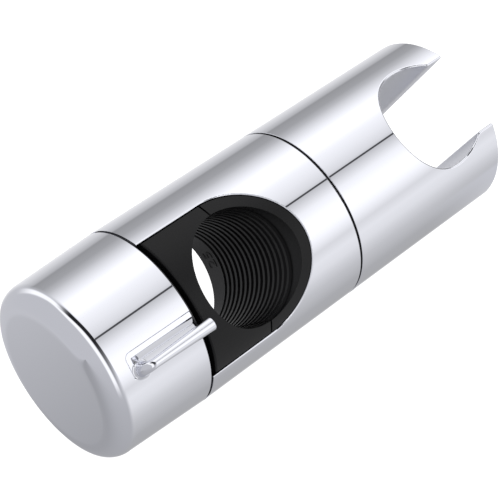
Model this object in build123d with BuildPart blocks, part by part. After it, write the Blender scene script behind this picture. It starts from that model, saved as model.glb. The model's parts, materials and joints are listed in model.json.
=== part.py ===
from build123d import *
import math
import os

# Shower rail slider. It clamps on a vertical rail and its fork carries the hand shower.
# Millimetres. The origin is the centre of the rail bore, +Z runs up the rail
# and +X runs along the barrel, from the clamp knob towards the fork.

# Rail and barrel
rail_radius = 12.5          # 25 mm rail
arm_cover = 5.75            # slot to the outside of the barrel
sleeve_wall = 3.0
slot_border = 2.75          # black rim left between the rail bore and the slot
knob_side = 17.0            # rail axis to the seam with the knob
fork_side = 27.05           # rail axis to the seam with the fork
seam_gap = 0.45             # black line at both seams
bulkhead = 2.6              # cross wall of the sleeve
bulkhead_inset = 4.4        # end of the sleeve to the cross wall
edge_round = 0.3            # softened rims of the chromed mouldings

# Ribbed grip
rib_pitch = 2.03
rib_count = 15
rib_depth = 0.4
rib_land = 0.9              # flat crest that meets the rail
rib_offset = 1.1            # the ribs lie a little towards the upper mouth
lip_relief = 0.15           # smooth mouths stand clear of the rail
shoe_relief = 0.1

# Clamp knob
knob_length = 23.7
knob_draft = 0.8            # the knob is this much smaller at its face
knob_round = 4.2            # rim between the side and the face
knob_crown = 0.35           # the face is slightly domed
knob_wall = 2.7
face_wall = 2.4
boss_radius = 3.0
boss_length = 5.6
boss_inset = 6.3            # screws' circle inside the cap's wall

# Lever on the knob, over a finger recess
lever_side = -4.75          # to one side of the knob's crown line
lever_lift = 1.4            # lever's centre above the barrel's crown
lever_reach = 2.2           # how far the tip overhangs the sleeve
lever_tip_radius = 1.5
lever_neck_radius = 1.0
lever_root_radius = 1.6
lever_bend = 2.4
lever_end_round = 0.4
lever_root = 15.6           # root to the knob's open edge
recess_side = -0.45         # crease beside the knob's crown line
recess_width = 4.75
recess_length = 17.0
recess_step = 0.15          # crease to the land beside it
recess_land = 1.1
recess_slope = 1.8          # width of the slope from the land to the floor
recess_depth = 1.45         # foot of the slope below the barrel's crown
recess_fall = 0.15          # land and floor fall this much per unit of width
recess_bend = 1.2           # radius where the slope meets the land and the floor
recess_corner = 1.5

# Hub inside the knob
hub_flange = 2.4
hub_radius = 6.0
hub_shoulder = 8.5
stud_radius = 3.95
pin_radius = 1.2
pin_chamfer = 0.2
pin_play = 0.3              # pin's ends to the knob's bosses and the plate's face
pin_inset = 5.7
pin_angle = -90.0           # pin under the barrel at rest
knob_tighten = 33.0         # degrees from rest to the tight stop
knob_release = 67.0         # degrees from rest to the free stop

# Collar that carries the knob
collar_plate = 2.8
collar_depth = 5.0          # how far it stands in under the knob
washer_thickness = 0.75
clip_thickness = 0.8
clip_radius = 7.7
clip_groove = 0.7
clip_mouth = 6.6            # opening of the spring ring
clip_play = 0.3             # plate to the spring ring
hub_rim = 0.6               # hub left beyond its groove
ring_section = 0.85         # radius of the rubber ring's section

# Shoe and stud
shoe_gap = 1.0              # dark gap beside the collar at rest
shoe_round = 0.5            # softened end of the shoe
flange_step = 0.7           # the collar's rim lies deeper than the shoe
split_gap = 0.4             # between the shoe and the saddle
stud_head = 5.6
stud_head_thickness = 1.5
stud_cover = 1.45           # plastic between the bore and the stud's head
stud_chamfer = 0.6

# Fork
fork_length = 45.7
fork_turn = 13.9            # degrees that the fork is turned on its pivot
cradle_radius = 12.3
cradle_inset = 12.8         # cradle centre to the ends of the prongs
mouth_half = 9.3
mouth_round = 2.0
cradle_edge = 0.4           # softened edge of the cradle
fork_wall = 2.8
spigot_wall = 2.0
fork_floor = 4.4            # solid between the cavity and the cradle
bush_wall = 1.66
core_plate = 4.2
pivot_boss = 7.0
pivot_boss_length = 10.6
screw_inset = 7.4           # core screws' circle inside the fork's wall
screw_angle = 30.0

# Pivot hardware
pivot_radius = 2.45
pivot_head = 4.4
pivot_head_height = 2.9
pivot_head_round = 0.8
hexagon_radius = 2.0
hexagon_depth = 1.8
pocket_play = 0.5           # saddle's pocket round the washers
pivot_end = 0.9             # screw left beyond the insert
insert_radius = 4.0
insert_length = 9.0
insert_groove = 1.4         # waist that locks the insert
insert_waist = 3.4
flat_washer = 0.8
spring_washer = 0.9
spring_thickness = 0.45
friction_washer = 0.7
washer_outer = 6.0
spring_outer = 5.6
bush_flange = 0.25

# Small screws
screw_radius = 1.35
screw_head = 2.5
screw_head_height = 1.6
screw_head_round = 0.6
screw_tip_play = 0.6        # screw's end to the bottom of its hole
side_screw_depth = 2.2

# Clearances
sliding = 0.12              # shoe in the slot, saddle in the slot
running = 0.1               # turning fits, arms beside the shoe
fixed = 0.04                # pieces fixed in one another
cover_step = 0.25           # the black faces stand this much below the chrome

# Places around and along the barrel
slot_half = rail_radius + slot_border
body_radius = slot_half + arm_cover
sleeve_left = -knob_side + seam_gap / 2
sleeve_right = fork_side - seam_gap / 2
knob_edge = -knob_side - seam_gap / 2
fork_edge = fork_side + seam_gap / 2
knob_face = knob_edge - knob_length
fork_end = fork_edge + fork_length
sleeve_inner = body_radius - sleeve_wall
wall_right = sleeve_right - bulkhead_inset
wall_left = wall_right - bulkhead
cover_radius = body_radius - cover_step
knob_inner = body_radius - knob_wall
boss_circle = knob_inner - boss_inset
pin_circle = knob_inner - pin_inset
lever_rise = body_radius + lever_lift
spigot_radius = sleeve_inner - fixed - bush_wall - running
screw_circle = body_radius - fork_wall - screw_inset
inner_face = knob_face + face_wall
hub_left = inner_face + boss_length
hub_right = hub_left + hub_flange
collar_left = knob_edge - collar_depth
plate_right = collar_left + collar_plate
collar_right = knob_edge + running
flange_right = sleeve_left
clip_left = plate_right + clip_play
clip_right = clip_left + clip_thickness
hub_end = clip_right + hub_rim
shoe_left = flange_right + shoe_gap
saddle_left = split_gap / 2
shoe_right = -split_gap / 2
head_left = wall_left - flat_washer - spring_washer - pivot_head_height - 2 * running
cradle_x = fork_end - cradle_inset
fork_plane = Plane(
    origin=(0, 0, 0), x_dir=(1, 0, 0),
    z_dir=(0, math.sin(math.radians(fork_turn)), math.cos(math.radians(fork_turn))),
)


def bar(x_from, x_to, radius, mode=Mode.ADD):
    """A round bar along the barrel axis."""
    with BuildSketch(Plane.YZ.offset(x_from)) as disc:
        Circle(radius)
    extrude(disc.sketch, amount=x_to - x_from, mode=mode)


def tube(x_from, x_to, outer, inner, mode=Mode.ADD):
    """A plain ring along the barrel axis."""
    with BuildSketch(Plane.YZ.offset(x_from)) as ring:
        Circle(outer)
        Circle(inner, mode=Mode.SUBTRACT)
    extrude(ring.sketch, amount=x_to - x_from, mode=mode)


def bars_around(x_from, x_to, circle, radius, mode=Mode.ADD, count=3, start=90.0):
    """Equal bars set around the barrel axis."""
    with BuildSketch(Plane.YZ.offset(x_from)) as discs:
        with PolarLocations(circle, count, start_angle=start):
            Circle(radius)
    extrude(discs.sketch, amount=x_to - x_from, mode=mode)


def ribbed_bore(lip):
    """Cuts the rail bore: smooth mouths, ribs with flat crests and V grooves between."""
    half = rib_count * rib_pitch / 2
    low = rib_offset - half
    with BuildSketch(Plane.XZ) as profile:
        with BuildLine():
            points = [(0, -body_radius), (rail_radius + lip, -body_radius), (rail_radius + lip, low)]
            for i in range(rib_count):
                start = low + i * rib_pitch
                points.append((rail_radius, start + rib_land / 2))
                points.append((rail_radius + rib_depth, start + rib_pitch / 2))
                points.append((rail_radius, start + rib_pitch - rib_land / 2))
            points += [
                (rail_radius + lip, rib_offset + half), (rail_radius + lip, body_radius), (0, body_radius)
            ]
            Polyline(*points, close=True)
        make_face()
    revolve(profile.sketch, axis=Axis.Z, mode=Mode.SUBTRACT)


def slot_prism(x_from, half_width, mode=Mode.ADD):
    """The U of the slot carried along the rail: straight sides and a round end."""
    with BuildSketch(Plane.XY.offset(-body_radius)) as outline:
        with BuildLine():
            Polyline((0, half_width), (x_from, half_width), (x_from, -half_width), (0, -half_width))
            CenterArc((0, 0), half_width, -90, 180)
        make_face()
    extrude(outline.sketch, amount=2 * body_radius, mode=mode)


def cut_edges(piece):
    """Edges where a cut meets the barrel's outside, left and right of the barrel axis."""
    edges = ShapeList()
    for edge in piece.edges():
        middle = edge.position_at(0.5)
        on_barrel = abs(math.hypot(middle.Y, middle.Z) - body_radius) < fixed
        if on_barrel and edge.geom_type != GeomType.CIRCLE and abs(middle.Z) > edge_round:
            edges.append(edge)
    return edges


def arm_face(side):
    """Centre of an arm's inner face, where a collar screw is driven outwards."""
    return Location((-knob_side / 2, side * (slot_half + running), 0), (side * 90, 0, 0))


# Sleeve
# One chromed tube with a U slot through each side for the rail, and a cross wall for the pivot
with BuildPart() as body_sleeve:
    bar(sleeve_left, sleeve_right, body_radius)
    slot_prism(sleeve_left, slot_half, Mode.SUBTRACT)
    fillet(cut_edges(body_sleeve), edge_round)
    bar(sleeve_left, wall_left, sleeve_inner, Mode.SUBTRACT)
    bar(wall_right, sleeve_right, sleeve_inner, Mode.SUBTRACT)
    bar(wall_left, wall_right, pivot_radius + running, Mode.SUBTRACT)
    fillet(body_sleeve.edges().group_by(Axis.X)[-1].sort_by(SortBy.LENGTH)[-1], edge_round)
    with BuildSketch(Plane.XZ.offset(-sleeve_inner - side_screw_depth)):
        with Locations((-knob_side / 2, 0)):
            Circle(screw_radius + fixed)
    extrude(amount=2 * (sleeve_inner + side_screw_depth), mode=Mode.SUBTRACT)
body_sleeve.part.label = "body_sleeve"

# Saddle
# Fixed half of the grip, seated against the cross wall and filling the round end of the slots
with BuildPart() as rail_saddle:
    slot_prism(shoe_left, slot_half - sliding)
    bar(saddle_left, body_radius, cover_radius, Mode.INTERSECT)
    bar(saddle_left, wall_left, sleeve_inner - fixed)
    ribbed_bore(lip_relief)
    bar(head_left - running, wall_left, washer_outer + pocket_play, Mode.SUBTRACT)
rail_saddle.part.label = "rail_saddle"

# Shoe
# Moving half of the grip, a block that slides between the straight sides of the slots
with BuildPart() as clamp_shoe:
    slot_prism(shoe_left, slot_half - sliding)
    bar(shoe_left, shoe_right, cover_radius, Mode.INTERSECT)
    fillet(clamp_shoe.edges().group_by(Axis.X)[0].filter_by(GeomType.CIRCLE), shoe_round)
    ribbed_bore(shoe_relief)
    head_right = -rail_radius - stud_cover
    bar(shoe_left, head_right, stud_radius + fixed, Mode.SUBTRACT)
    bar(head_right - stud_head_thickness - fixed, head_right, stud_head + fixed, Mode.SUBTRACT)
clamp_shoe.part.label = "clamp_shoe"

# Stud
# Brass screw moulded into the shoe; the knob's hub is its nut
with BuildPart() as clamp_stud:
    bar(head_right - fixed / 2 - stud_head_thickness, head_right - fixed / 2, stud_head)
    bar(hub_left + running, head_right - fixed, stud_radius)
    chamfer(clamp_stud.edges().group_by(Axis.X)[0], stud_chamfer)
clamp_stud.part.label = "clamp_stud"

# Collar
# Black bearing for the knob: a plate and rim under the knob, two arms inside the sleeve
with BuildPart() as bearing_collar:
    bar(collar_left, flange_right, knob_inner - running)
    bar(collar_right, flange_right, body_radius - flange_step)
    with BuildSketch(Plane.YZ.offset(flange_right)):
        Circle(sleeve_inner - fixed)
        Rectangle(2 * (slot_half + running), 2 * body_radius, mode=Mode.SUBTRACT)
    extrude(amount=-flange_right + shoe_right - sliding)
    bar(plate_right, flange_right, slot_half + running, Mode.SUBTRACT)
    bar(collar_left, plate_right, hub_radius + running, Mode.SUBTRACT)
    ring_x = (collar_left + plate_right) / 2
    tube(ring_x - ring_section - fixed, ring_x + ring_section + fixed,
         body_radius, knob_inner - running - 2 * ring_section, Mode.SUBTRACT)
    pin_sweep = CenterArc((0, 0), pin_circle, pin_angle - knob_release, knob_tighten + knob_release)
    with BuildSketch(Plane.YZ.offset(collar_left)):
        SlotArc(arc=pin_sweep, height=2 * (pin_radius + 2 * running))
    extrude(amount=collar_plate, mode=Mode.SUBTRACT)
    with BuildSketch(Plane.XZ.offset(-body_radius)):
        with Locations((-knob_side / 2, 0)):
            Circle(screw_radius + fixed)
    extrude(amount=2 * body_radius, mode=Mode.SUBTRACT)
    for side in (1, -1):
        with Locations(arm_face(side)):
            Cone(screw_radius + fixed, screw_head + fixed, screw_head_height, mode=Mode.SUBTRACT,
                 align=(Align.CENTER, Align.CENTER, Align.MAX))
bearing_collar.part.label = "bearing_collar"

# Collar screws
# Two countersunk screws hold the collar's arms to the sleeve, driven from inside
with BuildPart() as collar_screws:
    for side in (1, -1):
        with Locations(arm_face(side)):
            Cone(screw_radius, screw_head, screw_head_height - fixed,
                 align=(Align.CENTER, Align.CENTER, Align.MAX))
            Cylinder(screw_radius, sleeve_inner + side_screw_depth - slot_half - 2 * running,
                     align=(Align.CENTER, Align.CENTER, Align.MAX))
collar_screws.part.label = "collar_screws"

# Finger recess
# Tool for the hollow under the lever: a narrow land, a slope and a floor, carried along the draft
with BuildPart() as recess:
    land_z = body_radius - recess_step
    slope_y = recess_side - recess_land
    foot_y = slope_y - recess_slope
    foot_z = body_radius - recess_depth
    end_y = recess_side - recess_width
    with BuildSketch(Plane.YZ.offset(knob_edge)) as hollow:
        with BuildLine():
            Polyline(
                (recess_side, lever_rise), (recess_side, land_z),
                (slope_y, land_z - recess_land * recess_fall), (foot_y, foot_z),
                (end_y, foot_z + (end_y - foot_y) * recess_fall), (end_y, lever_rise),
                close=True,
            )
        make_face()
        bends = [(slope_y, land_z - recess_land * recess_fall), (foot_y, foot_z)]
        fillet([hollow.vertices().sort_by_distance(bend)[0] for bend in bends], recess_bend)
    extrude(hollow.sketch, amount=recess_length + recess_corner, dir=(-knob_length, 0, -knob_draft))
    with BuildSketch(Plane.XY.offset(knob_inner)) as outline:
        with Locations((knob_edge, recess_side - recess_width / 2)):
            Rectangle(2 * recess_length, recess_width)
        fillet(outline.vertices(), recess_corner)
    extrude(outline.sketch, amount=lever_rise - knob_inner, mode=Mode.INTERSECT)

# Knob
# Chromed cap with a domed face and a rounded rim; the lever grows out of it over the recess
lever_plane = Plane(origin=(0, lever_side, lever_rise), x_dir=(1, 0, 0), z_dir=(0, -1, 0))
lever_tip = knob_edge + lever_reach
neck_x = knob_edge - lever_root + lever_bend
with BuildPart() as clamp_knob:
    with BuildSketch(Plane.XZ) as section:
        with BuildLine():
            rim = body_radius - knob_draft
            crown = ThreePointArc(
                (knob_face - knob_crown, 0),
                (knob_face - knob_crown * 3 / 4, rim / 2),
                (knob_face, rim),
            )
            Polyline(
                crown @ 1, (knob_edge, body_radius), (knob_edge, knob_inner), (inner_face, knob_inner),
                (inner_face, 0), crown @ 0,
            )
        make_face()
        fillet(section.vertices().sort_by_distance((knob_face, rim))[0], knob_round)
        fillet(section.vertices().sort_by_distance((knob_edge, body_radius))[0], edge_round)
    revolve(axis=Axis.X)
    bars_around(inner_face, hub_left, boss_circle, boss_radius)
    bars_around(inner_face + running, hub_left, boss_circle, screw_radius + fixed, Mode.SUBTRACT)
    add(recess.part, mode=Mode.SUBTRACT)
    with BuildSketch(lever_plane) as pin_section:
        with BuildLine():
            Polyline(
                (neck_x, 0), (neck_x, lever_neck_radius), (lever_tip, lever_tip_radius), (lever_tip, 0),
                close=True,
            )
        make_face()
        fillet(pin_section.vertices().sort_by_distance((lever_tip, lever_tip_radius))[0], lever_end_round)
    revolve(axis=Axis(lever_plane.origin, (1, 0, 0)))
    bend_centre = Vector(neck_x, lever_side, lever_rise - lever_bend)
    bend_steps = 3
    stations = []
    for i in range(bend_steps + 1):
        share = i / bend_steps
        turn = math.radians(90 * share)
        place = bend_centre + Vector(-lever_bend * math.cos(turn), 0, lever_bend * math.sin(turn))
        station = Plane(origin=place, x_dir=(0, 1, 0), z_dir=(math.sin(turn), 0, math.cos(turn)))
        with BuildSketch(station) as ring:
            Circle(lever_root_radius + (lever_neck_radius - lever_root_radius) * math.sqrt(share))
        stations.append(ring.sketch.faces()[0])
    loft(stations)
    extrude(stations[0], amount=-knob_wall / 2)
clamp_knob.part.label = "clamp_knob"

# Hub
# Turned with the knob: a flange screwed to the knob's bosses and a threaded tube that draws the stud
with BuildPart() as knob_hub:
    bar(hub_left, hub_right, knob_inner - fixed)
    bar(hub_right, collar_left - washer_thickness - 2 * running, hub_shoulder)
    bar(collar_left - washer_thickness - 2 * running, hub_end, hub_radius)
    bar(hub_left, hub_end, stud_radius + running, Mode.SUBTRACT)
    tube(clip_left - fixed, clip_right + fixed, hub_shoulder, hub_radius - clip_groove, Mode.SUBTRACT)
    bars_around(hub_left, hub_right, boss_circle, screw_radius + running, Mode.SUBTRACT)
    bars_around(hub_left, hub_right, pin_circle, pin_radius + fixed / 2, Mode.SUBTRACT, 1, pin_angle)
knob_hub.part.label = "knob_hub"

# Hub screws
# Three pan-head screws into the knob's bosses
with BuildPart() as hub_screws:
    bars_around(inner_face + screw_tip_play, hub_right, boss_circle, screw_radius)
    bars_around(hub_right, hub_right + screw_head_height, boss_circle, screw_head)
    fillet(hub_screws.edges().group_by(Axis.X)[-1], screw_head_round)
hub_screws.part.label = "hub_screws"

# Stop pin
# Steel pin in the hub; it runs in the collar's arc slot and limits the knob's turn
with BuildPart() as stop_pin:
    bars_around(hub_left + pin_play, plate_right - pin_play, pin_circle, pin_radius,
                count=1, start=pin_angle)
    chamfer(stop_pin.edges().filter_by(GeomType.CIRCLE), pin_chamfer)
stop_pin.part.label = "stop_pin"

# Thrust washer
with BuildPart() as thrust_washer:
    tube(collar_left - running - washer_thickness, collar_left - running,
         hub_shoulder, hub_radius + running)
thrust_washer.part.label = "thrust_washer"

# Retaining clip
# Open spring ring in the hub's groove, it keeps the knob on its collar
with BuildPart() as retaining_clip:
    tube(clip_left, clip_right, clip_radius, hub_radius - clip_groove + fixed / 2)
    with BuildSketch(Plane.YZ.offset(clip_left)):
        with Locations((0, -clip_radius)):
            Rectangle(clip_mouth, 2 * clip_radius)
    extrude(amount=clip_thickness, mode=Mode.SUBTRACT)
retaining_clip.part.label = "retaining_clip"

# Knob ring
# Rubber ring in the collar's groove, it gives the knob a smooth drag
with BuildPart() as knob_o_ring:
    with BuildSketch(Plane.XZ):
        with Locations((ring_x, knob_inner - running - ring_section)):
            Circle(ring_section - fixed / 2)
    revolve(axis=Axis.X)
knob_o_ring.part.label = "knob_o_ring"

# Fork
# Chromed head with a round cradle, open at the end so that the hose can pass between the prongs
with BuildPart() as holder_fork:
    bar(fork_edge, fork_end, body_radius)
    with BuildSketch(fork_plane.offset(-body_radius)) as cradle:
        with Locations((cradle_x, 0)):
            Circle(cradle_radius)
        with Locations((cradle_x + body_radius, 0)):
            Rectangle(2 * body_radius, 2 * mouth_half)
        corners = cradle.vertices().filter_by_position(Axis.X, cradle_x + 1, fork_end - 1)
        fillet(corners, mouth_round)
    extrude(cradle.sketch, amount=2 * body_radius, mode=Mode.SUBTRACT)
    fillet(cut_edges(holder_fork), cradle_edge)
    fillet(holder_fork.edges().group_by(Axis.X)[0], edge_round)
    fillet(holder_fork.edges().group_by(Axis.X)[-1].filter_by(GeomType.CIRCLE), edge_round)
    cavity_end = cradle_x - cradle_radius - fork_floor
    bar(fork_edge, cavity_end, body_radius - fork_wall, Mode.SUBTRACT)
    core_right = fork_edge + core_plate
    bars_around(core_right, cavity_end, screw_circle, boss_radius, start=screw_angle)
    bars_around(core_right, cavity_end - fork_wall, screw_circle, screw_radius + fixed,
                Mode.SUBTRACT, start=screw_angle)
holder_fork.part.label = "holder_fork"

# Fork core
# Black plug inside the fork: the spigot turns in the sleeve's bush and the boss holds the insert
with BuildPart() as fork_core:
    spigot_left = wall_right + friction_washer + running
    bar(spigot_left, fork_edge, spigot_radius)
    bar(fork_edge, core_right - fixed, body_radius - fork_wall - fixed)
    tube(spigot_left, fork_edge, spigot_radius - spigot_wall, pivot_boss, Mode.SUBTRACT)
    bar(core_right - fixed, spigot_left + pivot_boss_length, pivot_boss)
    bar(spigot_left, spigot_left + pivot_boss_length, pivot_radius + running, Mode.SUBTRACT)
    insert_left = spigot_left + pivot_boss_length - insert_length
    bar(insert_left, spigot_left + pivot_boss_length, insert_radius + fixed, Mode.SUBTRACT)
    bars_around(spigot_left, core_right, screw_circle, screw_radius + running,
                Mode.SUBTRACT, start=screw_angle)
fork_core.part.label = "fork_core"

# Core screws
with BuildPart() as core_screws:
    bars_around(fork_edge, cavity_end - fork_wall - screw_tip_play, screw_circle, screw_radius,
                start=screw_angle)
    bars_around(fork_edge - screw_head_height, fork_edge, screw_circle, screw_head, start=screw_angle)
    fillet(core_screws.edges().group_by(Axis.X)[0], screw_head_round)
core_screws.part.label = "core_screws"

# Fork insert
# Knurled brass nut pressed into the core
with BuildPart() as fork_insert:
    tube(insert_left, spigot_left + pivot_boss_length, insert_radius, pivot_radius + fixed)
    waist_x = insert_left + (insert_length - insert_groove) / 2
    tube(waist_x, waist_x + insert_groove, insert_radius + 1, insert_waist, Mode.SUBTRACT)
fork_insert.part.label = "fork_insert"

# Pivot screw
# Shoulder screw with a hexagon socket, its head turns in the saddle's pocket
with BuildPart() as pivot_screw:
    bar(head_left, head_left + pivot_head_height, pivot_head)
    fillet(pivot_screw.edges().group_by(Axis.X)[0], pivot_head_round)
    bar(head_left + pivot_head_height, spigot_left + pivot_boss_length + pivot_end, pivot_radius)
    with BuildSketch(Plane.YZ.offset(head_left)):
        RegularPolygon(hexagon_radius, 6)
    extrude(amount=hexagon_depth, mode=Mode.SUBTRACT)
pivot_screw.part.label = "pivot_screw"

# Flat washer
with BuildPart() as pivot_washer:
    tube(wall_left - flat_washer, wall_left, washer_outer, pivot_radius + running)
pivot_washer.part.label = "pivot_washer"

# Spring washer
# Coned spring that keeps the fork's drag constant
with BuildPart() as spring_cone:
    cone_right = wall_left - flat_washer
    cone_left = cone_right - spring_washer
    with BuildSketch(Plane.XZ):
        with BuildLine():
            Polyline(
                (cone_left, pivot_radius + running), (cone_left + spring_thickness, pivot_radius + running),
                (cone_right, spring_outer), (cone_right - spring_thickness, spring_outer),
                close=True,
            )
        make_face()
    revolve(axis=Axis.X)
spring_cone.part.label = "spring_washer"

# Friction washer
with BuildPart() as fork_washer:
    tube(wall_right, wall_right + friction_washer, spigot_radius - running, pivot_boss)
fork_washer.part.label = "friction_washer"

# Bush
# Black flanged bush in the sleeve's mouth; its flange is the dark line at the fork
with BuildPart() as fork_bush:
    tube(wall_right, sleeve_right, sleeve_inner - fixed, spigot_radius + running)
    tube(sleeve_right, sleeve_right + bush_flange, cover_radius, spigot_radius + running)
fork_bush.part.label = "fork_bush"

# Files
os.makedirs("parts", exist_ok=True)
for piece in (
    body_sleeve, rail_saddle, clamp_shoe, clamp_stud, bearing_collar, collar_screws, clamp_knob, knob_hub,
    hub_screws, stop_pin, thrust_washer, retaining_clip, knob_o_ring, holder_fork, fork_core, core_screws,
    fork_insert, pivot_screw, pivot_washer, spring_cone, fork_washer, fork_bush,
):
    export_step(piece.part, f"parts/{piece.part.label}.step")
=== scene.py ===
import json
import math

import bpy
import numpy as np
from mathutils import Matrix, Vector


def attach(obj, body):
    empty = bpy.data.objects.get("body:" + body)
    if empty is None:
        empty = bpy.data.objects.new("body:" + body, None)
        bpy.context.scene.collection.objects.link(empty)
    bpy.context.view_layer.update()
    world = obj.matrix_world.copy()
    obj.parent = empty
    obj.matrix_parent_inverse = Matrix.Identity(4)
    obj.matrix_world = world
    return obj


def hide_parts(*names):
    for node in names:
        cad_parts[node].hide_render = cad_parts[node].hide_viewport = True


# A slider for a 25 mm shower rail. It is put together here as it is in real life:
# the chromed sleeve, the black grip in it, the knob that tightens it, and the fork on its pivot.
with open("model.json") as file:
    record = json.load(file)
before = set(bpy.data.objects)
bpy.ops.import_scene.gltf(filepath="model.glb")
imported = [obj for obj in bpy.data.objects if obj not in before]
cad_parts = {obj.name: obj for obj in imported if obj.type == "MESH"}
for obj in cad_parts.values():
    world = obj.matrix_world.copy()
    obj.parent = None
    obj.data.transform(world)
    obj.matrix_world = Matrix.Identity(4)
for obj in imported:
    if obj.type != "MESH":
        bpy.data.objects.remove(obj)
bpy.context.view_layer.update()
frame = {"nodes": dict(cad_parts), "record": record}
nodes = frame["nodes"]


# Camera
# A long lens that looks down on the object from beyond the knob's end. Its place and turn were
# fitted to the round rail bore, the two seams and the mouth of the fork.
camera_data = bpy.data.cameras.new("photo_camera")
camera_data.sensor_width = 36.0
camera_data.lens = 111.49
camera_data.clip_start = 0.01
camera = bpy.data.objects.new("photo_camera", camera_data)
camera.matrix_world = Matrix((
    (0.719072, 0.493975, -0.488799, -0.151988),
    (-0.494931, 0.857780, 0.138770, 0.046330),
    (0.487831, 0.142136, 0.861289, 0.291370),
    (0.0, 0.0, 0.0, 1.0),
))
bpy.context.scene.collection.objects.link(camera)
bpy.context.scene.camera = camera
bpy.context.scene.view_settings.view_transform = "Standard"


# Studio
# White all round, with long soft lamps beside the barrel and dark gaps between them. What the
# chrome mirrors is a function of the angle round the barrel, so each lamp runs as a straight band
# along it, and past the knob's end there is a grey wall with a white card and a black flag.
def linear(colour):
    """sRGB hex to linear red, green, blue and alpha."""
    parts = np.array([int(colour[i:i + 2], 16) / 255 for i in (1, 3, 5)])
    low = parts / 12.92
    high = ((parts + 0.055) / 1.055) ** 2.4
    return (*np.where(parts <= 0.04045, low, high), 1.0)


def add(tree, kind, inputs=None, **settings):
    """Adds a node with its settings; inputs gives each socket a value or the socket that feeds it."""
    node = tree.nodes.new(kind)
    for name, value in settings.items():
        setattr(node, name, value)
    for socket, value in (inputs or {}).items():
        if isinstance(value, bpy.types.NodeSocket):
            tree.links.new(value, node.inputs[socket])
        else:
            node.inputs[socket].default_value = value
    return node


def stops(ramp, levels, tint):
    """Fills a colour ramp over the full turn; each stop is an angle in degrees and a grey level."""
    for number, (degrees, level) in enumerate(levels):
        stop = ramp.elements[number] if number < 2 else ramp.elements.new(1.0)
        stop.position = (degrees + 180) / 360
        stop.color = (*(level * part for part in tint), 1.0)


world = bpy.data.worlds.new("studio")
bpy.context.scene.world = world
world.use_nodes = True
tree = world.node_tree
tree.nodes.clear()

# The angle round the barrel in degrees, zero straight above it and growing towards the back.
# The lamps lean a little across the barrel, by so many degrees over its length.
direction = add(tree, "ShaderNodeTexCoord")
axes = add(tree, "ShaderNodeSeparateXYZ", {0: direction.outputs["Generated"]})
along = axes.outputs["X"]
around = add(tree, "ShaderNodeMath", {0: axes.outputs["Y"], 1: axes.outputs["Z"]}, operation="ARCTAN2")
turn = add(tree, "ShaderNodeMath", {0: around.outputs[0], 1: 180 / math.pi}, operation="MULTIPLY")
angle = turn.outputs[0]
lean = 12.0
leant = add(tree, "ShaderNodeMath", {0: along, 1: -lean, 2: lean / 2}, operation="MULTIPLY_ADD")
lamp_angle = add(tree, "ShaderNodeMath", {0: leant.outputs[0], 1: angle}, operation="ADD").outputs[0]

ramps = {}
for name, value, tint, levels in (
    ("lamps", lamp_angle, (0.995, 0.997, 1.01), (
        (-180, 0.99), (180, 0.97), (-165, 1.12), (-159, 0.96), (-153, 0.56), (-146, 0.45),
        (-118, 0.49), (-90, 0.66), (-78, 0.78), (-68, 0.91), (-56, 0.98), (-44, 0.86), (-36, 1.05),
        (-27, 1.22), (-15, 1.35), (-3, 1.24), (6, 1.12), (15, 0.86), (22, 0.66), (28, 0.88),
        (39, 1.03), (52, 1.16), (62, 1.35), (78, 1.3), (88, 1.07), (97, 0.84), (106, 0.60),
        (116, 0.44), (132.5, 0.375), (136, 0.54), (150, 0.74), (167.5, 0.56),
    )),
    ("wall", angle, (0.985, 0.99, 1.025), (
        (-180, 0.645), (180, 0.64), (-174, 0.64), (-170.5, 0.49), (-168.5, 0.41), (-160, 0.42),
        (-150, 0.44), (-128, 0.475), (-105, 0.505), (-70, 0.54), (-35, 0.60), (0, 0.64), (60, 0.645),
    )),
):
    share = add(tree, "ShaderNodeMath", {0: value, 1: 1 / 360, 2: 0.5}, operation="MULTIPLY_ADD")
    ramp = add(tree, "ShaderNodeValToRGB", {0: share.outputs[0]})
    stops(ramp.color_ramp, levels, tint)
    ramps[name] = ramp.outputs[0]

# Soft edges of the lamps and cards; each goes from nothing to full between two readings
gap_centre = 23.4
gap_off = add(tree, "ShaderNodeMath", {0: lamp_angle, 1: gap_centre}, operation="SUBTRACT")
gap_side = add(tree, "ShaderNodeMath", {0: gap_off.outputs[0]}, operation="ABSOLUTE").outputs[0]
card_place = add(tree, "ShaderNodeMapRange", {
    "Value": angle, "From Min": 55.0, "From Max": 95.0, "To Min": -0.23, "To Max": -0.05,
}, interpolation_type="SMOOTHSTEP")
card_off = add(tree, "ShaderNodeMath", {0: along, 1: card_place.outputs[0]}, operation="SUBTRACT")
card_side = add(tree, "ShaderNodeMath", {0: card_off.outputs[0]}, operation="ABSOLUTE").outputs[0]
flag_shift = add(tree, "ShaderNodeMapRange", {
    "Value": angle, "From Min": 25.0, "From Max": 60.0, "To Min": 0.0, "To Max": 0.1,
}, interpolation_type="SMOOTHSTEP")
flag_place = add(tree, "ShaderNodeMath", {0: along, 1: flag_shift.outputs[0]}, operation="ADD").outputs[0]
masks = {}
for name, edges in (
    ("gap", ((gap_side, 1.5, 0.7),)),
    ("side_light", ((along, 0.57, 0.63), (angle, -92.0, -100.0), (angle, -156.0, -150.0))),
    ("far_end", ((along, 0.78, 0.93),)),
    ("wall", ((along, 0.35, 0.0),)),
    ("card", ((card_side, 0.2, 0.07), (angle, -55.0, -25.0), (angle, 150.0, 115.0))),
    ("flag", (
        (flag_place, -0.1, -0.01), (flag_place, 0.285, 0.235), (angle, -48.0, 22.0), (angle, 84.0, 58.0))),
):
    mask = 1.0
    for value, nothing, full in edges:
        edge = add(tree, "ShaderNodeMapRange", {
            "Value": value, "From Min": nothing, "From Max": full}, interpolation_type="SMOOTHSTEP")
        both = add(tree, "ShaderNodeMath", {0: mask, 1: edge.outputs[0]}, operation="MULTIPLY")
        mask = both.outputs[0]
    masks[name] = mask

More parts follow.
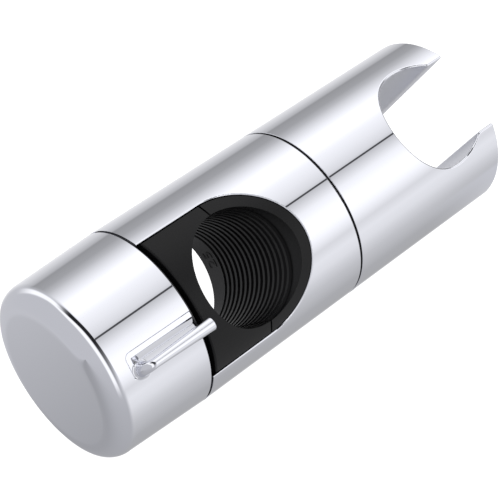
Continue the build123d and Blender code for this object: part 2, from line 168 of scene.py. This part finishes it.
# Each patch is laid over what came before it. Only mirrored light sees them: matt pieces are lit
# by an even sky, and the camera sees plain white.
white = (1.0, 1.0, 1.0, 1.0)
mirrored_colour = ramps["lamps"]
for name, colour in (
    ("gap", (0.075, 0.075, 0.08, 1.0)),
    ("side_light", (0.68, 0.685, 0.71, 1.0)),
    ("far_end", (0.34, 0.34, 0.35, 1.0)),
    ("wall", ramps["wall"]),
    ("card", (1.25, 1.25, 1.25, 1.0)),
    ("flag", (0.02, 0.02, 0.022, 1.0)),
):
    laid = add(tree, "ShaderNodeMix", {0: masks[name], 6: mirrored_colour, 7: colour}, data_type="RGBA")
    mirrored_colour = laid.outputs[2]
rays = add(tree, "ShaderNodeLightPath")
mirrored = add(tree, "ShaderNodeBackground", {"Color": mirrored_colour, "Strength": 1.0})
soft = add(tree, "ShaderNodeBackground", {"Color": white, "Strength": 0.8})
plain = add(tree, "ShaderNodeBackground", {"Color": white, "Strength": 1.0})
lit = add(tree, "ShaderNodeMixShader", {
    0: rays.outputs["Is Glossy Ray"], 1: soft.outputs[0], 2: mirrored.outputs[0]})
seen = add(tree, "ShaderNodeMixShader", {
    0: rays.outputs["Is Camera Ray"], 1: lit.outputs[0], 2: plain.outputs[0]})
add(tree, "ShaderNodeOutputWorld", {"Surface": seen.outputs[0]})

for name, place, size, power in (
    ("lamp_above", (-0.25, 0.45, 0.75), 0.6, 5.0),
    ("lamp_side", (0.45, -0.35, 0.60), 0.5, 2.5),
):
    lamp_data = bpy.data.lights.new(name, "AREA")
    lamp_data.size = size
    lamp_data.energy = power
    lamp = bpy.data.objects.new(name, lamp_data)
    lamp.rotation_euler = Vector(place).to_track_quat("Z", "Y").to_euler()
    lamp.location = place
    lamp.visible_glossy = False
    bpy.context.scene.collection.objects.link(lamp)

# White paper below the object takes its soft shadow
floor_mesh = bpy.data.meshes.new("floor")
floor_side, floor_height = 6, -0.075
floor_mesh.from_pydata([
    (-floor_side, -floor_side, floor_height), (floor_side, -floor_side, floor_height),
    (floor_side, floor_side, floor_height), (-floor_side, floor_side, floor_height)], [], [(0, 1, 2, 3)])
floor = bpy.data.objects.new("floor", floor_mesh)
bpy.context.scene.collection.objects.link(floor)
floor.visible_glossy = False
paper = bpy.data.materials.new("white_paper_sweep")
paper.use_nodes = True
tree = paper.node_tree
tree.nodes.clear()
rays = add(tree, "ShaderNodeLightPath")
matt = add(tree, "ShaderNodeBsdfDiffuse", {"Color": linear("#c8c8c8")})
glow = add(tree, "ShaderNodeEmission", {"Color": white, "Strength": 0.5})
bright = add(tree, "ShaderNodeAddShader", {0: matt.outputs[0], 1: glow.outputs[0]})
paper_seen = add(tree, "ShaderNodeMixShader", {
    0: rays.outputs["Is Camera Ray"], 1: matt.outputs[0], 2: bright.outputs[0]})
add(tree, "ShaderNodeOutputMaterial", {"Surface": paper_seen.outputs[0]})
floor_mesh.materials.append(paper)


# Sleeve
# Moulded ABS tube, polished and chrome plated, with a U slot through each side for the rail.
# The collar and the saddle are held in it and the fork's bush sits in its other end.
def tighter_end(points, end, outwards):
    """Points with one end's outer rounding tightened and the end drawn back from its seam.

    The rounding's distances from the end and from the barrel's skin are both multiplied by
    kept, and the rounding and the flat end then move back together. Sizes in metres.
    """
    skin = 0.021            # the barrel's radius
    rounding = 0.000301     # a hair over the solid's rounding of 0.3 mm
    kept = 0.4
    back = 0.00006
    reach = np.hypot(points[:, 1], points[:, 2])
    from_end = (end - points[:, 0]) * outwards
    rounded = (from_end < rounding) & (reach > skin - rounding)
    moved = rounded | (from_end < 1e-6)
    points = points.copy()
    points[moved, 0] = end - outwards * (back + kept * from_end[moved])
    points[rounded, 1:] *= ((skin - kept * (skin - reach[rounded])) / reach[rounded])[:, None]
    return points


def shared_normals(tri, faces, normal, firm, crease):
    """Corner normals, each the mean of those at its point that differ by less than the crease.

    Every normal counts by its corner's angle times its face's firmness.
    """
    edge_a = tri[:, [1, 2, 0]] - tri
    edge_b = tri[:, [2, 0, 1]] - tri
    cosine = (edge_a * edge_b).sum(axis=2) / np.maximum(
        np.linalg.norm(edge_a, axis=2) * np.linalg.norm(edge_b, axis=2), 1e-15)
    weight = (np.arccos(np.clip(cosine, -1, 1)) * firm[:, None]).ravel()
    vertex = faces.ravel()
    normal = normal.reshape(-1, 3)
    # Every pair of corners that meet at one point, as two long lists
    order = np.argsort(vertex, kind="stable")
    _, first, many = np.unique(vertex[order], return_index=True, return_counts=True)
    group_first = np.repeat(first, many)
    group_many = np.repeat(many, many)
    left = np.repeat(np.arange(len(order)), group_many)
    step = np.arange(len(left)) - np.repeat(np.cumsum(group_many) - group_many, group_many)
    right = order[group_first[left] + step]
    left = order[left]
    close = (normal[left] * normal[right]).sum(axis=1) > math.cos(math.radians(crease))
    left, right = left[close], right[close]
    shared = np.stack([
        np.bincount(left, normal[right, k] * weight[right], len(vertex)) for k in range(3)], axis=1)
    shared /= np.maximum(np.linalg.norm(shared, axis=1), 1e-12)[:, None]
    return shared.reshape(-1, 3, 3)


def turned_faces(node, axes, crease=30.0, ends=()):
    """Points, triangles and corner normals of the node's mesh, merged, true on its turned faces.

    A face belongs to an axis when its corners lie between two radii from it and its normal has
    no part along the circle round it. At each corner the normal's radial and axial parts are then
    laid along the corner's own radius. A very small axial part is only the slant of a triangle on
    a cylinder and is left out. A cylinder or a flat end is firm: where a rounding joins it, the
    rounding's normals give way. Each axis is a point, a direction and two radii.
    """
    largest_slant, firmness = 0.06, 1000.0
    source = nodes[node].data
    places = np.empty(len(source.vertices) * 3)
    source.vertices.foreach_get("co", places)
    corner = np.empty(len(source.loops), dtype=np.int64)
    source.loops.foreach_get("vertex_index", corner)
    points, merged = np.unique(np.round(places.reshape(-1, 3), 7), axis=0, return_inverse=True)
    faces = merged.ravel()[corner].reshape(-1, 3)
    faces = faces[(faces != np.roll(faces, 1, axis=1)).all(axis=1)]
    for end, outwards in ends:
        points = tighter_end(points, end, outwards)
    tri = points[faces]
    cross = np.cross(tri[:, 1] - tri[:, 0], tri[:, 2] - tri[:, 0])
    flat = cross / np.maximum(np.linalg.norm(cross, axis=1), 1e-15)[:, None]
    normal = np.repeat(flat[:, None, :], 3, axis=1)
    taken = np.zeros(len(faces), dtype=bool)
    firm = np.ones(len(faces))
    for origin, along, low, high in axes:
        along = np.array(along) / np.linalg.norm(along)
        out = tri - np.array(origin)
        out = out - (out @ along)[..., None] * along
        radius = np.linalg.norm(out, axis=2)
        middle = out.mean(axis=1)
        middle = middle / np.maximum(np.linalg.norm(middle, axis=1), 1e-12)[:, None]
        around = np.cross(np.broadcast_to(along, middle.shape), middle)
        skew = np.abs((flat * around).sum(axis=1))
        mine = (radius.min(axis=1) > low) & (radius.max(axis=1) < high) & (skew < largest_slant) & ~taken
        outward = (flat * middle).sum(axis=1)
        lengthwise = np.where(np.abs(flat @ along) < largest_slant, 0.0, flat @ along)
        unit = out / np.maximum(radius, 1e-9)[..., None]
        laid = outward[:, None, None] * unit + lengthwise[:, None, None] * along
        normal[mine] = laid[mine]
        firm[mine & ((lengthwise == 0.0) | (np.abs(lengthwise) > 0.999))] = firmness
        taken |= mine
    return points, faces, shared_normals(tri, faces, normal, firm, crease)


def shown_piece(node, points, faces, normals):
    """A new object for the node from points, triangles and three corner normals for each."""
    mesh = bpy.data.meshes.new(node + "_shown")
    mesh.from_pydata(points.tolist(), [], faces.tolist())
    mesh.shade_smooth()
    mesh.normals_split_custom_set(normals.reshape(-1, 3).tolist())
    piece = bpy.data.objects.new(node + "_shown", mesh)
    bpy.context.scene.collection.objects.link(piece)
    return piece


def body_of(node):
    """The moving body that a node belongs to, from the frame's record."""
    return next(b for b, members in frame["record"]["behaviour"]["bodies"].items() if node in members)


def finish_piece(piece, node, material):
    """Gives a piece its material, lets it ride on its node's body and stand for that node."""
    piece.data.materials.clear()
    piece.data.materials.append(material)
    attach(piece, body_of(node))
    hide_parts(node)


def new_material(name, **sockets):
    """An empty principled material; returns it with its tree and shader."""
    material = bpy.data.materials.new(name)
    material.use_nodes = True
    tree = material.node_tree
    tree.nodes.clear()
    shader = add(tree, "ShaderNodeBsdfPrincipled", {k.replace("_", " "): v for k, v in sockets.items()})
    add(tree, "ShaderNodeOutputMaterial", {"Surface": shader.outputs[0]})
    return material, tree, shader


def uneven(tree, shader, patches, detail, smooth, rough):
    """Lets the roughness wander between two values in noise with so many patches to a metre."""
    place = add(tree, "ShaderNodeTexCoord")
    noise = add(tree, "ShaderNodeTexNoise", {
        "Vector": place.outputs["Object"], "Scale": patches, "Detail": detail})
    worn = add(tree, "ShaderNodeMapRange", {"Value": noise.outputs[0], "To Min": smooth, "To Max": rough})
    tree.links.new(worn.outputs[0], shader.inputs["Roughness"])
    return place, noise, worn


# Bright chrome plate on polished ABS: a clear mirror, a little blue, with a faint orange peel.
def chrome_plate(name):
    """Chrome with haze in patches of 4.5 mm and a peel of about 2.4 mm."""
    material, tree, shader = new_material(name, Base_Color=linear("#e6e7ed"), Metallic=1.0)
    place, _, polish = uneven(tree, shader, 220.0, 2.0, 0.018, 0.032)
    peel = add(tree, "ShaderNodeTexNoise", {"Vector": place.outputs["Object"], "Scale": 420.0, "Detail": 1.0})
    bump = add(tree, "ShaderNodeBump", {"Height": peel.outputs[0], "Strength": 0.02, "Distance": 0.00002})
    tree.links.new(bump.outputs[0], shader.inputs["Normal"])
    return material, tree, shader, place, polish


chrome = chrome_plate("chrome_plated_abs")[0]

# Each axis is a point and a direction; a piece adds the radii between which its faces turn about it
barrel_axis = ((0, 0, 0), (1, 0, 0))
rail_axis = ((0, 0, 0), (0, 0, 1))
sleeve = shown_piece("body_sleeve", *turned_faces(
    "body_sleeve", [(*barrel_axis, 0.0175, 0.0215), (*rail_axis, 0.0148, 0.0162)],
    ends=((0.026825, 1), (-0.016775, -1))))
finish_piece(sleeve, "body_sleeve", chrome)


# Grip
# Two satin black mouldings with fine ribs: the saddle is fixed in the sleeve and the shoe
# slides against the rail. The ribs are moulded round the bore, with flat crests.
grip_plastic, tree, shader = new_material(
    "black_filled_nylon", Base_Color=linear("#070708"), Roughness=0.42, Specular_IOR_Level=0.25)
# The mould's fine spark texture has a grain of about 0.4 mm
_, grain, _ = uneven(tree, shader, 2500.0, 3.0, 0.36, 0.5)
bump = add(tree, "ShaderNodeBump", {"Height": grain.outputs[0], "Strength": 0.12, "Distance": 0.00003})
tree.links.new(bump.outputs[0], shader.inputs["Normal"])

for node in ("rail_saddle", "clamp_shoe"):
    grip = shown_piece(node, *turned_faces(node, [
        (*rail_axis, 0.0123, 0.0131), (*barrel_axis, 0.0173, 0.0211), (*rail_axis, 0.0149, 0.0153)],
        crease=20.0))
    finish_piece(grip, node, grip_plastic)


# Size mark
# The saddle is moulded with the rail's size, 25, standing a little proud of the far mouth's
# smooth wall. The digits are polished in the tool, so they are smoother than the grip; their black is painted
# shade, deeper than the grip's nylon they are moulded in, and they reflect less, so they read dark.
# Painted shade: the digits' nylon is a darker black than the grip's, and it reflects less.
painted_dark_digit_plastic, tree, shader = new_material(
    "polished_black_nylon_painted_darker", Base_Color=linear("#030303"), Specular_IOR_Level=0.1)
uneven(tree, shader, 2500.0, 2.0, 0.2, 0.3)

digits = bpy.data.curves.new("digits", "FONT")
digits.body = "25"
digits.align_x = "CENTER"
digits.extrude = 0.1
digits.offset = 0.012
lettering = bpy.data.objects.new("digits", digits)
bpy.context.scene.collection.objects.link(lettering)
bpy.context.view_layer.update()
mark_mesh = bpy.data.meshes.new_from_object(lettering)
bpy.data.objects.remove(lettering)
shape = np.empty(len(mark_mesh.vertices) * 3)
mark_mesh.vertices.foreach_get("co", shape)
shape = shape.reshape(-1, 3)
low, high = shape.min(axis=0), shape.max(axis=0)
share = (shape - low) / (high - low)
mark_width, mark_height, mark_middle = 0.0041, 0.0034, -0.0170
wall_radius, mark_relief, mark_sunk = 0.01265, 0.00007, 0.00003
# The line of digits is bent round the bore, with their tops towards the far mouth
bend_round = (share[:, 0] - 0.5) * mark_width / wall_radius
radius = wall_radius + mark_sunk - share[:, 2] * (mark_relief + mark_sunk)
lower = mark_middle - (share[:, 1] - 0.5) * mark_height
mark_mesh.vertices.foreach_set("co", np.stack([
    radius * np.cos(bend_round), radius * np.sin(bend_round), lower], axis=1).ravel())
mark_mesh.update()
mark = bpy.data.objects.new("size_mark", mark_mesh)
bpy.context.scene.collection.objects.link(mark)
mark_mesh.materials.clear()
mark_mesh.materials.append(painted_dark_digit_plastic)
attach(mark, body_of("rail_saddle"))


# Collar, bush, core and hub
# Black acetal mouldings that carry the knob and the fork: a slippery, slightly waxy plastic.
# They lie inside, and only thin dark lines of the collar and the bush show at the seams.
bearing_plastic, tree, shader = new_material("black_acetal", Base_Color=linear("#18181a"), Roughness=0.35)
uneven(tree, shader, 1500.0, 2.0, 0.3, 0.42)
for node in ("bearing_collar", "fork_bush", "fork_core", "knob_hub"):
    moulding = shown_piece(node, *turned_faces(node, [(*barrel_axis, 0.002, 0.0215)]))
    finish_piece(moulding, node, bearing_plastic)


# Knob
# Chromed ABS cap with a domed face, moulded in one with its lever. The cap's inside is the solid's;
# its skin is worked out here, because the finger hollow is a soft dish that runs out at the edge.
# The skin is a profile turned round the barrel, lowered by the hollow's depth. Sizes in millimetres.
knob_edge = -17.225         # the open edge, at the seam
knob_face = -40.925         # where the face's dome starts
edge_radius = 21.0
face_radius = 20.2          # the drafted side's radius, run on to the face
edge_round = 0.2
rim_round = 4.2
crown = 0.35                # the dome's height
cavity_radius = 18.3
cavity_end = -38.525
lever_side = -4.75          # the lever's place across the barrel
lever_height = 22.399       # and above its axis
root_x = -31.95
root_radius = 1.5
root_flare = 0.9


def rise(share):
    """A soft step: three squares less two cubes of the share, held between nought and one."""
    share = np.clip(share, 0.0, 1.0)
    return share * share * (3.0 - 2.0 * share)


def bend(run, width):
    """A line that turns from level to a slope of one over the width: the soft step's integral."""
    share = np.clip(run / width, 0.0, 1.0)
    return width * (share ** 3 - share ** 4 / 2) + np.maximum(run - width, 0.0)


def hollow_depth(x, y):
    """How far the skin lies below the turned cap.

    It is read from the distance inside the hollow's outline, whose corner is rounded and whose
    closed end is a little steeper. A small sharp step comes first, then a flat margin, then a soft
    slope, and then a floor that rises towards the lever and ends beyond it. A quarter round
    flares up at the lever's root.
    """
    near_side, far_side, far_width = -0.3, -5.75, 0.55
    closed_end, end_stretch, corner = -34.25, 1.1, 1.5
    step_depth, step_width = 0.2, 0.22
    slope_start, slope, slope_bend = 1.2, 0.61, 0.2
    floor_start, floor_rise, floor_bend = 2.7, 1.0, 0.25
    foot_inset, steepest = 0.15, 0.98

    across = near_side - y
    lengthwise = end_stretch * (x - closed_end)
    inside = (
        corner - np.hypot(np.maximum(corner - across, 0), np.maximum(corner - lengthwise, 0))
        + np.minimum(np.maximum(across - corner, 0), np.maximum(lengthwise - corner, 0)))
    depth = (
        step_depth * rise(inside / step_width) + slope * bend(inside - slope_start, slope_bend)
        - floor_rise * bend(inside - floor_start, floor_bend))
    depth = depth * rise((y - far_side) / far_width)
    foot = np.hypot(x - root_x, y - lever_side) - (root_radius - foot_inset)
    within_flare = np.clip(root_flare - foot, 0, root_flare * steepest)
    return depth - (root_flare - np.sqrt(root_flare ** 2 - within_flare ** 2))


def rows_of(*columns):
    """Columns of numbers side by side; a single number fills its column."""
    return np.stack(np.broadcast_arrays(*columns), axis=1)


def net(rows, columns, start):
    """Triangles of a net of points whose columns close on themselves."""
    corner = start + np.arange(rows - 1)[:, None] * columns + np.arange(columns)
    beside = start + np.arange(rows - 1)[:, None] * columns + (np.arange(columns) + 1) % columns
    first = np.stack([corner, beside, beside + columns], axis=2).reshape(-1, 3)
    second = np.stack([corner, beside + columns, corner + columns], axis=2).reshape(-1, 3)
    return np.concatenate([first, second])


def fan(ring, middle):
    """Triangles from a closed ring of points to the point in its middle."""
    return rows_of(ring, np.roll(ring, -1), middle)


# The rim is a round that touches the drafted side and the dome; its centre is found by turns
draft = math.atan((edge_radius - face_radius) / (knob_edge - knob_face))
dome_radius = (face_radius ** 2 + crown ** 2) / (2 * crown)
dome_centre = knob_face - crown + dome_radius
rim_x = knob_face + rim_round
for _ in range(8):
    rim_r = edge_radius - math.tan(draft) * (knob_edge - rim_x) - rim_round / math.cos(draft)
    rim_x = dome_centre - math.sqrt((dome_radius - rim_round) ** 2 - rim_r ** 2)

# Profile from the open edge to the face: each row is x, the radius and the way the line runs on.
# The rows are close together beside the hollow.
fine_start, fine_end, fine_step = -29.0, -34.9, 0.12
turned = np.linspace(0, math.pi / 2 + draft, 6)
edge = rows_of(
    knob_edge - edge_round + edge_round * np.cos(turned),
    edge_radius - edge_round + edge_round * np.sin(turned), -np.sin(turned), np.cos(turned))
side_x = np.concatenate([
    np.linspace(knob_edge - 0.5, fine_start, 24), np.arange(fine_start - fine_step, fine_end, -fine_step),
    np.linspace(fine_end - 0.3, rim_x, 5)[:-1]])
side = rows_of(
    side_x, edge_radius - math.tan(draft) * (knob_edge - side_x), -math.cos(draft), -math.sin(draft))
turned = np.linspace(draft, math.acos(rim_r / (dome_radius - rim_round)), 28)
rim = rows_of(
    rim_x - rim_round * np.sin(turned), rim_r + rim_round * np.cos(turned), -np.cos(turned), -np.sin(turned))
turned = np.linspace(math.asin(rim[-1, 1] / dome_radius), 0, 14)[1:-1]
dome = rows_of(
    dome_centre - dome_radius * np.cos(turned), dome_radius * np.sin(turned), np.sin(turned), -np.cos(turned))
profile = np.concatenate([edge, side, rim, dome])

# Skin: the turned cap less the hollow, with its normals from the two ways that the surface runs
around = np.radians(np.concatenate([
    np.linspace(1.0, -20.5, 220, endpoint=False), np.linspace(-20.5, -359.0, 150, endpoint=False)]))
x, r, x_along, r_along = (profile[:, k, None] for k in range(4))
y, z = r * np.sin(around), r * np.cos(around)
x = np.broadcast_to(x, y.shape)
near_hollow = (z > 0) & (x > rim_x)
nudge = 1e-4
depth = np.where(near_hollow, hollow_depth(x, y), 0.0)
fall_x = np.where(
    near_hollow, (hollow_depth(x + nudge, y) - hollow_depth(x - nudge, y)) / (2 * nudge), 0.0)
fall_y = np.where(
    near_hollow, (hollow_depth(x, y + nudge) - hollow_depth(x, y - nudge)) / (2 * nudge), 0.0)
skin = np.stack([x, y, z - depth], axis=2)
down = np.stack([
    np.broadcast_to(x_along, y.shape), r_along * np.sin(around),
    r_along * np.cos(around) - fall_x * x_along - fall_y * r_along * np.sin(around)], axis=2)
round_about = np.stack([
    np.zeros(y.shape), np.broadcast_to(np.cos(around), y.shape),
    -np.sin(around) - fall_y * np.cos(around)], axis=2)
skin_normal = np.cross(round_about, down)
skin_normal /= np.linalg.norm(skin_normal, axis=2, keepdims=True)

# Lever: rings along a straight taper, a quarter bend and a foot that is sunk in the wall. Each row
# is a ring's centre, how far it leans from upright, and its radius.
bend_radius, tip_x, tip_round, tip_middle, sunk = 2.0, -15.025, 0.4, 0.02, 18.35
neck_x, neck_radius, tip_gain = -30.425, 1.0, 0.5
straight_x = np.linspace(tip_x - tip_round, root_x + bend_radius, 30)
taper = neck_radius + tip_gain * (straight_x - neck_x) / (tip_x - neck_x)
tip_ring = taper[0] - tip_round
turned = np.linspace(0, math.pi / 2, 7)[:-1]
bent = np.linspace(0, math.pi / 2, 15)[1:]
bent_radius = root_radius + (taper[-1] - root_radius) * np.sqrt(1 - bent / (math.pi / 2))
rings = np.concatenate([
    rows_of(tip_x, lever_height, 0.0, [tip_middle, tip_ring / 2]),
    rows_of(
        tip_x - tip_round + tip_round * np.cos(turned), lever_height, 0.0,
        tip_ring + tip_round * np.sin(turned)),
    rows_of(straight_x, lever_height, 0.0, taper),
    rows_of(
        root_x + bend_radius - bend_radius * np.sin(bent),
        lever_height - bend_radius + bend_radius * np.cos(bent), bent, bent_radius),
    rows_of(root_x, np.linspace(lever_height - bend_radius, sunk, 6)[1:], math.pi / 2, root_radius),
])
spin = np.linspace(0, 2 * math.pi, 48, endpoint=False)
centre_x, centre_z, lean_over, ring = (rings[:, k, None] for k in range(4))
lever = np.stack([
    centre_x - ring * np.sin(spin) * np.sin(lean_over),
    lever_side + ring * np.cos(spin),
    centre_z + ring * np.sin(spin) * np.cos(lean_over)], axis=2)
step_along = np.gradient(lever, axis=0)
step_round = np.roll(lever, -1, axis=1) - np.roll(lever, 1, axis=1)
lever_normal = np.cross(step_along, step_round)
lever_normal /= np.maximum(np.linalg.norm(lever_normal, axis=2, keepdims=True), 1e-12)
# The tip is flat within its rounding
lever_normal[:2] = (1, 0, 0)

# The cap's inside comes from the solid: faces within the cavity, without the flat open edge
hair, slack = 0.001, 0.01
points, faces, normals = turned_faces("clamp_knob", [(*barrel_axis, -1.0, 0.0215)])
points = points * 1000.0
reach = np.hypot(points[:, 1], points[:, 2])
within = (reach < cavity_radius + slack) & (points[:, 0] > cavity_end - slack)
at_edge = points[:, 0] > knob_edge - hair
kept = within[faces].all(axis=1) & ~at_edge[faces].all(axis=1)
faces, normals = faces[kept], normals[kept]
used = np.unique(faces)
number = np.full(len(points), -1)
number[used] = np.arange(len(used))
points, faces = points[used], number[faces]

# The flat edge joins two circles: each step on one meets the point last passed on the other
mouth = np.flatnonzero(points[:, 0] > knob_edge - hair)
mouth_turn = np.arctan2(points[mouth, 1], points[mouth, 2])
order = np.argsort(mouth_turn)
mouth, mouth_turn = mouth[order], mouth_turn[order]
skin_start = len(points)
lip_turn = np.arctan2(skin[0, :, 1], skin[0, :, 2])
order = np.argsort(lip_turn)
lip, lip_turn = skin_start + order, lip_turn[order]
meets_lip = lip[np.searchsorted(lip_turn, np.roll(mouth_turn, -1), side="right") - 1]
meets_mouth = mouth[np.searchsorted(mouth_turn, np.roll(lip_turn, -1), side="right") - 1]
flat_edge = np.concatenate([
    rows_of(mouth, np.roll(mouth, -1), meets_lip), rows_of(lip, np.roll(lip, -1), meets_mouth)])
flat_normal = np.broadcast_to(np.array([1.0, 0.0, 0.0]), (len(flat_edge), 3, 3))

# Everything in one mesh: inside, flat edge, skin with its pole, lever with its two closed ends
rows, columns = skin.shape[:2]
pole = skin_start + rows * columns
lever_start = pole + 1
first_ring = lever_start + np.arange(len(spin))
last_ring = first_ring + (len(lever) - 1) * len(spin)
tip_point = last_ring[-1] + 1
outer_faces = np.concatenate([
    net(rows, columns, skin_start), fan(pole - columns + np.arange(columns), pole),
    net(len(lever), len(spin), lever_start), fan(first_ring, tip_point), fan(last_ring, tip_point + 1)])
all_points = np.concatenate([
    points, skin.reshape(-1, 3), [(knob_face - crown, 0, 0)], lever.reshape(-1, 3),
    [(tip_x, lever_side, lever_height), (root_x, lever_side, sunk)]])
point_normal = np.concatenate([
    np.zeros(points.shape), skin_normal.reshape(-1, 3), [(-1, 0, 0)], lever_normal.reshape(-1, 3),
    [(1, 0, 0), (0, 0, -1)]])
all_faces = np.concatenate([faces, flat_edge, outer_faces])
all_normals = np.concatenate([normals, flat_normal, point_normal[outer_faces]])
# A face that runs against its normals is turned over
tri = all_points[all_faces]
facing = np.cross(tri[:, 1] - tri[:, 0], tri[:, 2] - tri[:, 0])
wrong = (facing * all_normals.sum(axis=1)).sum(axis=1) < 0
all_faces[wrong] = all_faces[wrong][:, ::-1]
all_normals[wrong] = all_normals[wrong][:, ::-1]
knob = shown_piece("clamp_knob", all_points / 1000.0, all_faces, all_normals)
finish_piece(knob, "clamp_knob", chrome)


# Fork
# Chromed ABS head with a round cradle for the hand shower, open at its end between two prongs.
# It turns on its bush, and in the photo it stands a little round from the rail's direction.
cradle_place, cradle_turn = 0.060125, math.radians(13.9)
cradle_axis = ((cradle_place, 0, 0), (0, math.sin(cradle_turn), math.cos(cradle_turn)))
fork = shown_piece("holder_fork", *turned_faces("holder_fork", [
    (*cradle_axis, 0.01225, 0.01235), (*barrel_axis, 0.018, 0.0215)], ends=((0.027275, -1),)))
# The cradle's bore can't be buffed before plating, so the chrome is satin in it: inside the
# barrel's radius the roughness rises over the width of the rounded edge.
fork_chrome, tree, shader, place, polish = chrome_plate("chrome_plated_abs_with_satin_bore")
parts = add(tree, "ShaderNodeSeparateXYZ", {0: place.outputs["Object"]})
across = add(tree, "ShaderNodeCombineXYZ", {"Y": parts.outputs["Y"], "Z": parts.outputs["Z"]})
from_axis = add(tree, "ShaderNodeVectorMath", {0: across.outputs[0]}, operation="LENGTH")
satin = add(tree, "ShaderNodeMapRange", {
    "Value": from_axis.outputs["Value"], "From Min": 0.0206, "From Max": 0.0203,
    "To Min": 0.0, "To Max": 0.36,
}, interpolation_type="SMOOTHSTEP")
total = add(tree, "ShaderNodeMath", {0: polish.outputs[0], 1: satin.outputs[0]}, operation="ADD")
tree.links.new(total.outputs[0], shader.inputs["Roughness"])
finish_piece(fork, "holder_fork", fork_chrome)


# Small parts
# Stainless screws, pin, clip and washers, a brass stud and insert, nylon washers and a rubber ring.
# They are bought parts inside the mouldings, and each finish is named for what it is made of.
finishes = {}
for slot, name, colour, metallic, patches, smooth, rough in (
    # Stainless steel, turned or pressed: bright grey with faint tool marks
    ("steel", "stainless_steel", "#b9bcbf", 1.0, 900.0, 0.22, 0.36),
    # Brass, turned: yellow and a little duller than the steel
    ("brass", "free_cutting_brass", "#d9b56a", 1.0, 900.0, 0.25, 0.4),
    # Nylon, moulded and not coloured: a milky ivory
    ("nylon", "natural_nylon", "#e6e3d8", 0.0, 600.0, 0.35, 0.48),
    # Nitrile rubber, moulded: a dull black
    ("rubber_ring", "nitrile_rubber", "#161616", 0.0, 800.0, 0.5, 0.7),
):
    finish, tree, shader = new_material(name, Base_Color=linear(colour), Metallic=metallic)
    uneven(tree, shader, patches, 2.0, smooth, rough)
    finishes[slot] = finish
for part in frame["record"]["subparts"]:
    if part["material_slot"] in finishes:
        nodes[part["node"]].data.materials.clear()
        nodes[part["node"]].data.materials.append(finishes[part["material_slot"]])
